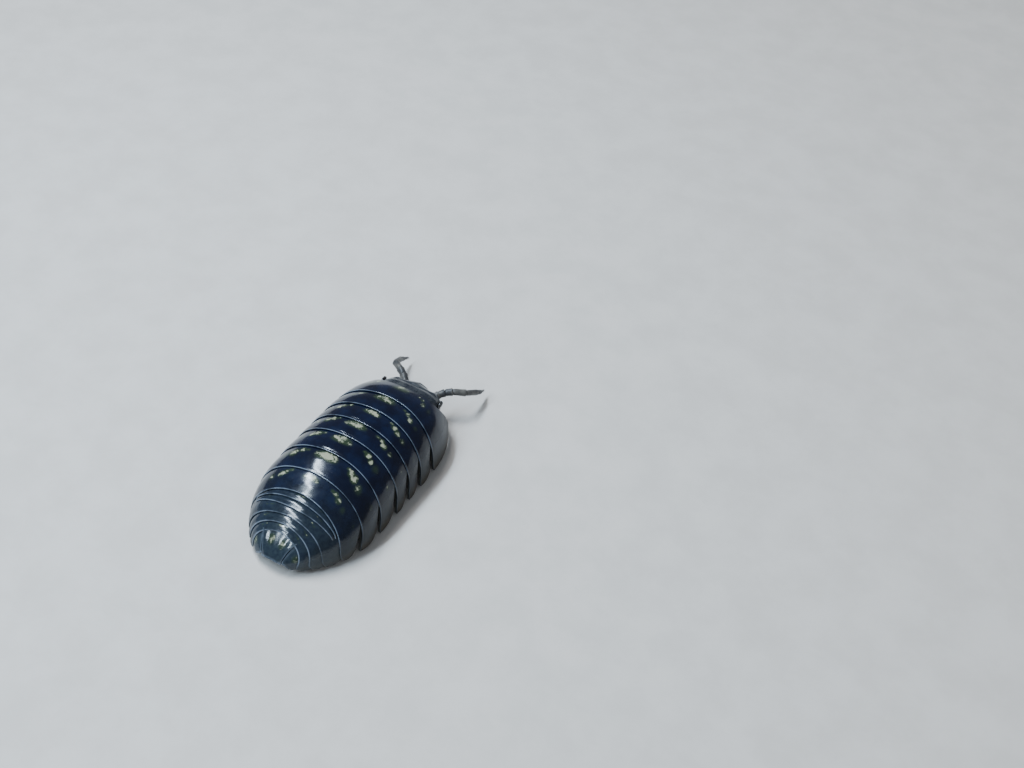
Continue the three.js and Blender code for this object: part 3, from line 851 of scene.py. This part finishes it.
# Joints from root to foot: in from the body's side, height, share of the leg's swing, radius
LEG_JOINTS = (
    (1.40, 1.56, 0.00, 0.30),
    (2.50, 1.12, 0.14, 0.24),
    (2.74, 0.80, 0.22, 0.22),
    (2.14, 0.44, 0.42, 0.24),
    (1.36, 0.46, 0.68, 0.23),
    (1.06, 0.40, 0.80, 0.17),
    (0.90, 0.17, 0.92, 0.12),
)
CLAW_END = (0.86, 0.012, 1.0)
LEG_SWINGS = (-0.55, -0.4, -0.2, 0, 0.25, 0.45, 0.65)
LEG_GAP = 0.12
ROOT_SWEEP_SHARE = 0.4
LEG_SIDES = 16
LEG_FLARE = 1.1
LEG_OVERLAP = 0.08
LEG_BRISTLES = 26
CLAW_STEPS = 9
CLAW_RADII = (0.085, 0.014)
SMALL_CLAW_RADII = (0.04, 0.008)


def leg_root(i):
    """How far back the leg of a segment is rooted."""
    front = segments[i].front(math.pi / 2)
    following = segments[i + 1].front(math.pi / 2)
    return float((front + following - LEG_GAP) / 2 + PEREONITE_SWEEPS[i] * ROOT_SWEEP_SHARE)


def leg_point(joint, sign, i):
    y = leg_root(i) + LEG_SWINGS[i] * joint[2]
    return np.array((sign * (half_width(y) - joint[0]), y, joint[1]))


def claw(side, sign, i):
    """The claw, with a smaller one beside it."""
    start, tip = leg_point(LEG_JOINTS[-1], sign, i), leg_point(CLAW_END, sign, i)
    bend = lerp(start, tip, 0.55) + np.array((sign * 0.05, 0, 0))
    path = [lerp(lerp(start, bend, t), lerp(bend, tip, t), t) for t in np.linspace(0, 1, CLAW_STEPS)]
    beside = [point + np.array((0, 0.06, 0.03 * share))
              for point, share in zip(path, np.linspace(0, 1, CLAW_STEPS))][:-1]
    big = tube(path, np.linspace(*CLAW_RADII, len(path)), 12, reference=(0, -1, 0))
    small = tube(beside, np.linspace(*SMALL_CLAW_RADII, len(beside)), 8, reference=(0, -1, 0))
    item = mesh_object(f"claw_{side}_{i + 1}", merged([big, small]), MATERIALS["claw"])


def legs():
    radii = [joint[3] for joint in LEG_JOINTS]
    for side, sign in (("left", 1), ("right", -1)):
        for i in range(len(LEG_SWINGS)):
            points = [leg_point(joint, sign, i) for joint in LEG_JOINTS]
            parts, hairs = [], []
            for j in range(len(points) - 1):
                root = lerp(points[j], points[j + 1], -LEG_OVERLAP if j else 0.0)
                parts.append(article(root, points[j + 1], radii[j], radii[j + 1], LEG_SIDES, LEG_FLARE,
                                     reference=(0, -1, 0)))
                hairs += bristles_on(points[j], points[j + 1], lerp(radii[j], radii[j + 1], 0.5),
                                     LEG_BRISTLES, 0.09, 0.7)
            item = mesh_object(f"leg_limb_{side}_{i + 1}", merged(parts + hairs), MATERIALS["leg"], 55)
            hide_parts(f"leg_{side}_{i + 1}")
            claw(side, sign, i)


# Head

# Place along the head, half its width, and the heights of its underside and top
HEAD_STATIONS = np.array((
    (HEAD_END, 1.35, 1.2, 2.05),
    (HEAD_END + 0.1, 1.72, 1.0, 2.32),
    (HEAD_END + 0.42, 2.02, 0.86, 2.62),
    (HEAD_END + 0.9, 2.15, 0.84, 2.84),
    (HEAD_END + 1.35, 2.12, 0.98, 2.95),
    (FIRST_FRONT - 0.14, 2.0, 1.15, 2.9),
))
HEAD_POWER = 2.8
HEAD_STEPS = (46, 176)
FACE_STEPS = 26
FAIRING_ROUNDS = 6
SHIELD_RISE = 0.3
SHIELD_HALF_WIDTH = 0.95
LOBE_RISE = 0.22
LOBE_PLACE = 1.45
LOBE_SPREAD = 0.22
BROW_LENGTH = 0.6
# On the face: how far each form stands out, and where it lies
SHIELD_TOP = 2.36
SHIELD_DEPTH = 0.95
SHIELD_STAND = 0.22
SHIELD_TIP_STAND = 0.09
FACE_LOBE_STAND = 0.2
SOCKET_DEPTH = 0.10
CHEEK_STAND = 0.05
LIP_STAND = 0.12
SEAM_DEPTH = 0.03
FACE_ROUNDING = 0.05
# The nape: place along the head and how far it has widened
NAPE = ((FIRST_FRONT - 0.10, 0.5), (FIRST_FRONT - 0.02, 0.85), (FIRST_FRONT + 0.12, 1.0))
NAPE_HEIGHT = 1.9
NAPE_SINK = 0.3
NAPE_SIDE_GAP = 0.55
FURROW_DEPTH = 0.06
EYE_RIDGE = 0.03
UNEVENNESS = 0.008
EYE_CENTRE = (2.14, HEAD_END + 0.8, 2.2)
EYE_RADII = (0.1, 0.31, 0.23)
FACET_COUNTS = (5, 6, 5, 4)
FACET_SPACING = (0.098, 0.105)
FACET_RADII = (0.05, 0.046, 0.046)


def face_relief(x, z):
    """How far the front of the head stands out: shield, lobes over the antennae, sockets, lip."""
    side = np.abs(x)
    drop = np.clip((SHIELD_TOP - z) / SHIELD_DEPTH, 0, 1)
    inside_shield = smoothstep(0.98 * (1 - drop) + 0.04 - side, 0.0, 0.10) * smoothstep(z, 1.38, 1.5)
    shield = inside_shield * lerp(SHIELD_STAND, SHIELD_TIP_STAND, drop)
    from_lobe = np.hypot((side - 1.42) / 0.36, (z - 2.02) / 0.26)
    lobe = FACE_LOBE_STAND * (1 - smoothstep(from_lobe, 0.75, 1.1))
    socket = -SOCKET_DEPTH * bell(np.hypot(side - 1.15, z - 1.6), 0, 0.2, 4)
    cheek = CHEEK_STAND * bell(side, 0.95, 0.35) * bell(z, 1.22, 0.2)
    lip = LIP_STAND * bell(np.hypot(x / 0.55, (z - 1.2) / 0.17), 0, 1, 4)
    seam = -SEAM_DEPTH * bell(z, 1.36 + 0.1 * side, 0.03) * smoothstep(1.2 - side, 0, 0.3)
    return shield + lobe + socket + cheek + lip + seam


def head_rings():
    """The head from its brow back to the nape, before the face closes it."""
    front, back = HEAD_STATIONS[0, 0], HEAD_STATIONS[-1, 0]
    turns = np.linspace(0, 2 * math.pi, HEAD_STEPS[1], endpoint=False)
    cos, sin = np.cos(turns), np.sin(turns)
    up = smoothstep(sin, 0.0, 0.35)
    rings = []
    for y in lerp(front, back, np.linspace(0, 1, HEAD_STEPS[0]) ** 1.5):
        width, bottom, top = (np.interp(y, HEAD_STATIONS[:, 0], HEAD_STATIONS[:, k]) for k in (1, 2, 3))
        x = width * np.sign(cos) * np.abs(cos) ** (2 / HEAD_POWER)
        z = (top + bottom) / 2 + (top - bottom) / 2 * np.sign(sin) * np.abs(sin) ** (2 / HEAD_POWER)
        fade = np.clip(1 - (y - HEAD_END) / BROW_LENGTH, 0, 1)
        shield = SHIELD_RISE * np.maximum(0, 1 - np.abs(x) / SHIELD_HALF_WIDTH)
        lobe = LOBE_RISE * bell(np.abs(x), LOBE_PLACE, LOBE_SPREAD)
        z = z + up * fade * (shield + lobe)
        # A furrow behind the shield, a ridge from eye to eye, and fine unevenness
        z = z - up * FURROW_DEPTH * bell(y, HEAD_END + 0.60, 0.08) * bell(x, 0, 1.2, 4)
        z = z + up * EYE_RIDGE * bell(y, HEAD_END + 0.78 + 0.05 * x * x, 0.07)
        z = z + up * UNEVENNESS * ripple(x, y, z, 1.6, 5)
        rings.append(vectors(x, y, z))
    grid = np.array(rings)
    for _ in range(FAIRING_ROUNDS):
        grid[1:-1] = 0.5 * grid[1:-1] + 0.25 * (grid[:-2] + grid[2:])
    return grid


def face_rings(brow):
    """Rings that close in on the middle of the face, with its relief."""
    middle = brow.mean(0)
    rings = []
    for share in np.linspace(0.03, 0.97, FACE_STEPS):
        ring = lerp(middle, brow, share)
        level = 1 - smoothstep(share, 0.86, 1.0)
        ring[:, 1] -= FACE_ROUNDING * (1 - share ** 6) + level * face_relief(ring[:, 0], ring[:, 2])
        rings.append(ring)
    return np.array(rings)


def nape_rings(back):
    """Rings that widen inside the first plate and close the gap behind the head."""
    rings = []
    for y, grow in NAPE:
        roof = hull(np.linspace(0, math.pi, 89), y + 0.2, -NAPE_SINK)
        ring = back.copy()
        ring[:, 0] *= lerp(1.0, (half_width(y) - NAPE_SIDE_GAP) / np.abs(back[:, 0]).max(), grow)
        ring[:, 1] = y
        level = np.maximum(np.interp(ring[:, 0], roof[:, 0], roof[:, 2]), NAPE_HEIGHT)
        raised = lerp(ring[:, 2], level, grow)
        ring[:, 2] = np.where(ring[:, 2] > NAPE_HEIGHT, raised, ring[:, 2])
        rings.append(ring)
    return np.array(rings)


def head():
    rings = head_rings()
    grid = np.concatenate([face_rings(rings[0]), rings, nape_rings(rings[-1])])
    item = mesh_object("head_shell", closed_body(grid), MATERIALS["head"], 60)
    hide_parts("head")


def eyes():
    """A low mound on each side of the head, with a cluster of small round facets."""
    for side, sign in (("left", 1), ("right", -1)):
        centre = np.array((sign * EYE_CENTRE[0], EYE_CENTRE[1], EYE_CENTRE[2]))
        bodies = [ball(centre, EYE_RADII, 14, 28)]
        for row, count in enumerate(FACET_COUNTS):
            for place_in_row in range(count):
                along = (place_in_row - (count - 1) / 2) * FACET_SPACING[0]
                up = (row - 1.5) * FACET_SPACING[1]
                depth = math.sqrt(max(0.02, 1 - (along / EYE_RADII[1]) ** 2 - (up / EYE_RADII[2]) ** 2))
                spot = centre + np.array((sign * (EYE_RADII[0] * depth - 0.012), along, up))
                bodies.append(ball(spot, FACET_RADII, 8, 12))
        item = mesh_object(f"eye_facets_{side}", merged(bodies), MATERIALS["eye"])
        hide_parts(f"eye_{side}")


# Underside

BELLY_FROM = -6.2
BELLY_TO = 7.1
BELLY_STEPS = (150, 45)
BELLY_HEIGHT = 1.62
BELLY_SHARE = 0.62
BELLY_SIDE_GAP = 0.5
CREASE_HEIGHT = 0.11
BULGE_DEPTH = 0.04
TAIL_FOLDS = (5.0, 5.5, 6.0, 6.5)
FOLD_BOTTOM = 0.72
FLESH_DEPTH = 0.42
FLAP_PAIRS = 5
LUNG_PAIRS = 2
FLAP_FRONT = 4.74
FLAP_STEP = 0.34
FLAP_LENGTH = 0.62
FLAP_WIDTH = 1.1
FLAP_ROOT_HEIGHT = 1.46
FLAP_DROP = 0.30
FLAP_LAYER = 0.08
LUNG_RADII = (0.26, 0.15, 0.05)
FLAP_LOWEST = 0.93
FLAP_THICKNESS = 0.07
JAW_FRONT = HEAD_END + 0.38
JAW_LENGTH = 0.95
JAW_WIDTH = 0.78
JAW_TOP = 0.92
JAW_BASE = 0.78
JAW_DEPTH = 0.3


def belly():
    """The skin under the plates: one closed body with a cross fold for each segment."""
    folds = np.array([leg_root(i) for i in range(len(LEG_SWINGS))] + list(TAIL_FOLDS))
    across = np.linspace(-1, 1, BELLY_STEPS[1])
    rings = []
    for y in np.linspace(BELLY_FROM, BELLY_TO, BELLY_STEPS[0]):
        reach = half_width(y) - BELLY_SIDE_GAP
        x = across * reach
        near = np.min(np.abs(folds - y))
        crease = CREASE_HEIGHT * bell(near, 0.7, 0.13)
        bulge = BULGE_DEPTH * bell(near, 0, 0.35) * (1 - across ** 2)
        z = min(BELLY_HEIGHT, top_height(y) * BELLY_SHARE) + crease - bulge
        # The side folds hang down behind the plates and close the slits between their tips
        hang = smoothstep(np.abs(x), reach - 0.42, reach - 0.12) * smoothstep(6.4 - y, 0.0, 0.6)
        z = lerp(z, np.minimum(z, FOLD_BOTTOM), hang)
        top_z = np.maximum(z + 0.25, np.minimum(hull_height(x, y, -0.55), top_height(y) - 0.62))
        top_z = np.minimum(top_z, hull_height(x, y, -FLESH_DEPTH))
        z = np.minimum(z, top_z - 0.06)
        rings.append(np.concatenate([vectors(x, y, z), vectors(x, y, top_z)[::-1]]))
    item = mesh_object("belly_skin", closed_body(rings), MATERIALS["belly"], 60)


def gill_flaps():
    """Five pairs of flaps like tiles under the tail; the first two carry white lungs."""
    flaps, lungs = [], []
    span = np.linspace(0.03, 1, 14)
    for i in range(FLAP_PAIRS):
        for sign in (1, -1):
            rings = []
            for along in np.linspace(0, 1, 12):
                x = sign * span * FLAP_WIDTH * (1 - 0.07 * i) * (1 - 0.35 * along ** 3)
                y = FLAP_FRONT + FLAP_STEP * i + FLAP_LENGTH * along - 0.18 * span ** 2
                z = FLAP_ROOT_HEIGHT - FLAP_DROP * along - FLAP_LAYER * i - 0.06 * np.sin(math.pi * span)
                outer = vectors(x, y, np.maximum(z, FLAP_LOWEST))
                inner = outer + (0, 0, FLAP_THICKNESS)
                rings.append(np.concatenate([outer, inner[::-1]]))
            flaps.append(closed_body(rings))
            if i < LUNG_PAIRS:
                lungs.append(ball(rings[6][8] + (0, 0, -0.015), LUNG_RADII, 10, 20))
    item = mesh_object("gill_flaps", merged(flaps), MATERIALS["gill_plate"], 50)
    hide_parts("pleopods")
    item = mesh_object("white_lungs", merged(lungs), MATERIALS["lung"])


def mouth():
    """Two foot jaws side by side under the head, each with a feeler of two articles."""
    bodies = []
    span = np.linspace(0.04, 1, 12)
    for sign in (1, -1):
        rings = []
        for along in np.linspace(0, 1, 16):
            y = JAW_FRONT + JAW_LENGTH * along
            x = sign * span * JAW_WIDTH * (0.55 + 0.45 * math.sin(math.pi * min(1, along * 0.75 + 0.15)))
            depth = JAW_DEPTH * math.sin(math.pi * (0.15 + 0.7 * along)) * np.sqrt(1 - 0.75 * span ** 2)
            rings.append(np.concatenate([vectors(x, y, JAW_BASE - depth), vectors(x, y, JAW_TOP)[::-1]]))
        bodies.append(closed_body(rings))
        start = np.array((sign * 0.5, HEAD_END + 0.5, 0.62))
        joints = [start, start + (sign * 0.05, -0.16, 0.0), start + (sign * 0.02, -0.28, 0.05)]
        for a, b, radius in zip(joints, joints[1:], (0.11, 0.08)):
            bodies.append(article(a, b, radius, radius * 0.8, 12, 1.05))
    item = mesh_object("foot_jaws", merged(bodies), MATERIALS["belly"], 55)
    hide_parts("mouthparts")


# Studio

FLOOR_HALF = 3.0
FLOOR_TONES = ((0.60, 0.59, 0.57), (0.66, 0.65, 0.63))
SKY_COLOUR = (0.80, 0.86, 0.95)
SKY_STRENGTH = 0.22
LIT_POINT = (0, 0.002, 0.002)


def strip_light(name, location, size, energy, colour, long_axis):
    """A narrow lamp that faces the animal, with its length along the given axis."""
    data = bpy.data.lights.new(name, "AREA")
    data.shape = "RECTANGLE"
    data.size, data.size_y = size
    data.energy = energy
    data.color = colour
    light = bpy.data.objects.new(name, data)
    back = (Vector(location) - Vector(LIT_POINT)).normalized()
    across = Vector(long_axis).cross(back).normalized()
    turn = Matrix((across, back.cross(across), back)).transposed()
    light.matrix_world = Matrix.Translation(location) @ turn.to_4x4()
    bpy.context.scene.collection.objects.link(light)


def sun_light(name, towards, strength, spread, colour):
    """Even soft light from far away that leaves no glare of its own on the shell."""
    data = bpy.data.lights.new(name, "SUN")
    data.energy = strength
    data.angle = spread
    data.color = colour
    light = bpy.data.objects.new(name, data)
    light.rotation_euler = Vector(towards).to_track_quat("Z", "Y").to_euler()
    light.visible_glossy = False
    bpy.context.scene.collection.objects.link(light)


def studio_floor():
    n = Nodes("floor")
    tone = n.mix(n.ramp(n.noise(300, 5, 0.6), 0.3, 0.7), *FLOOR_TONES)
    n.finish(Base_Color=tone, Roughness=0.75)
    mesh = bpy.data.meshes.new("floor")
    corners = [(x * FLOOR_HALF, y * FLOOR_HALF, 0) for x, y in ((-1, -1), (1, -1), (1, 1), (-1, 1))]
    mesh.from_pydata(corners, [], [(0, 1, 2, 3)])
    mesh.materials.append(n.material)
    floor = bpy.data.objects.new("floor", mesh)
    bpy.context.scene.collection.objects.link(floor)


def studio():
    studio_floor()
    world = bpy.data.worlds.new("studio")
    world.use_nodes = True
    background = world.node_tree.nodes["Background"]
    background.inputs["Color"].default_value = (*SKY_COLOUR, 1)
    background.inputs["Strength"].default_value = SKY_STRENGTH
    bpy.context.scene.world = world
    # Two narrow strips whose reflections run down the back in one line
    strip_light("strip_front", (0.0509, -0.0136, 0.104), (0.0062, 0.060), 0.100, (0.70, 0.84, 1.0),
                (-0.30, 0.95, 0))
    strip_light("strip_rear", (0.048, 0.058, 0.104), (0.0062, 0.100), 0.130, (0.70, 0.86, 1.0),
                (0.13, 0.99, 0))
    sun_light("key", (0.5, -0.15, 1.0), 1.9, math.radians(25), (1.0, 0.98, 0.95))
    sun_light("fill", (-0.7, 0.5, 0.8), 0.3, math.radians(50), (0.9, 0.95, 1.0))


# Camera: found by laying the hull over the photo
CAMERA_AZIMUTH = math.radians(207.247)
CAMERA_ELEVATION = math.radians(42.936)
CAMERA_ROLL = math.radians(3.929)
CAMERA_OFFSET = (-8.784, -5.189, -80.491)
CAMERA_UNIT = 1.11  # millimetres to a unit of the offset
CAMERA_CENTRE = (0, -0.88, 0)
IMAGE_WIDTH = 1024
FOCAL_PIXELS = 1422.0
SENSOR_WIDTH = 36.0


def camera():
    sin_a, cos_a = math.sin(CAMERA_AZIMUTH), math.cos(CAMERA_AZIMUTH)
    sin_e, cos_e = math.sin(CAMERA_ELEVATION), math.cos(CAMERA_ELEVATION)
    back = Vector((sin_a * cos_e, -cos_a * cos_e, sin_e))
    level = Vector((0, 0, 1)).cross(back).normalized()
    upright = back.cross(level)
    cos_r, sin_r = math.cos(CAMERA_ROLL), math.sin(CAMERA_ROLL)
    right = cos_r * level + sin_r * upright
    up = -sin_r * level + cos_r * upright
    turn = Matrix((right, up, back)).transposed()
    centre = -CAMERA_UNIT * (turn @ Vector(CAMERA_OFFSET)) + Vector(CAMERA_CENTRE)
    data = bpy.data.cameras.new("camera")
    data.sensor_fit = "HORIZONTAL"
    data.sensor_width = SENSOR_WIDTH
    data.lens = SENSOR_WIDTH * FOCAL_PIXELS / IMAGE_WIDTH
    data.clip_start = 0.001
    data.clip_end = 20
    item = bpy.data.objects.new("camera", data)
    item.matrix_world = Matrix.Translation(Vector(place(centre))) @ turn.to_4x4()
    bpy.context.scene.collection.objects.link(item)
    bpy.context.scene.camera = item


plates()
telson()
uropods()
antennae()
legs()
head()
eyes()
belly()
gill_flaps()
mouth()
studio()
camera()
